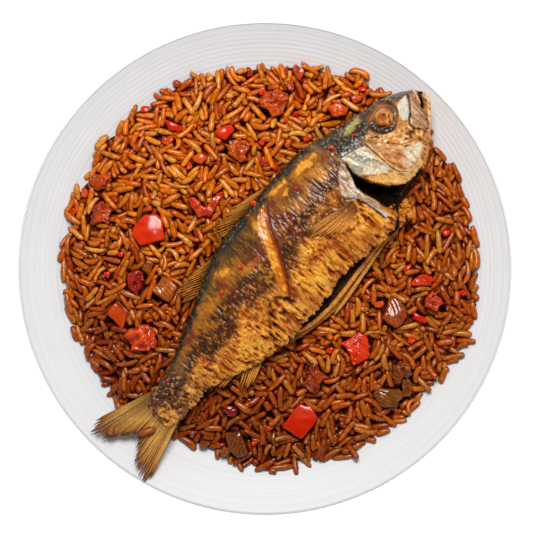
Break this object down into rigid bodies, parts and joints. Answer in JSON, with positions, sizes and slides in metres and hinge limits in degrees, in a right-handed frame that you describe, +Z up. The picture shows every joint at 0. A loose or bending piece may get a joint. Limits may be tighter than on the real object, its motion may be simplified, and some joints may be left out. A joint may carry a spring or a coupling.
{
  "type": "jollof rice with fried fish on a plate",
  "caption": "Round coupe plate filled with a low heap of red-brown jollof rice, diced pepper, tomato and onion, with a whole fried fish laid across it.",
  "frame": {"origin": "centre of the plate's foot ring, on the surface that the plate stands on", "axes": "+Z up out of the plate, +X to the right as the eater sees it, +Y away from the eater; the fish's head points to +X and +Y, its back to -X and +Y"},
  "size_m": [0.27, 0.27, 0.0555],
  "materials": {
    "white_glaze": "white glaze, satin, with fine turned ridges",
    "jollof_rice": "cooked long-grain rice, orange-brown, glossy with oil",
    "fried_skin": "crisp fried fish skin, golden to dark brown, oily",
    "pepper": "cooked red pepper, smooth and glossy",
    "tomato": "soft cooked tomato, wrinkled and wet",
    "onion": "cooked onion, translucent amber, glossy"
  },
  "bodies": {
    "root": {"plate": "white_glaze", "rice": "jollof_rice", "fish": "fried_skin", "pepper_1": "pepper", "pepper_2": "pepper", "pepper_3": "pepper", "pepper_4": "pepper", "pepper_5": "pepper", "pepper_6": "pepper", "pepper_7": "pepper", "pepper_8": "pepper", "pepper_9": "pepper", "tomato_1": "tomato", "tomato_2": "tomato", "tomato_3": "tomato", "tomato_4": "tomato", "tomato_5": "tomato", "tomato_6": "tomato", "tomato_7": "tomato", "tomato_8": "tomato", "tomato_9": "tomato", "tomato_10": "tomato", "tomato_11": "tomato", "tomato_skin": "tomato", "onion_1": "onion", "onion_2": "onion", "onion_3": "onion", "onion_4": "onion"}
  },
  "joints": []
}
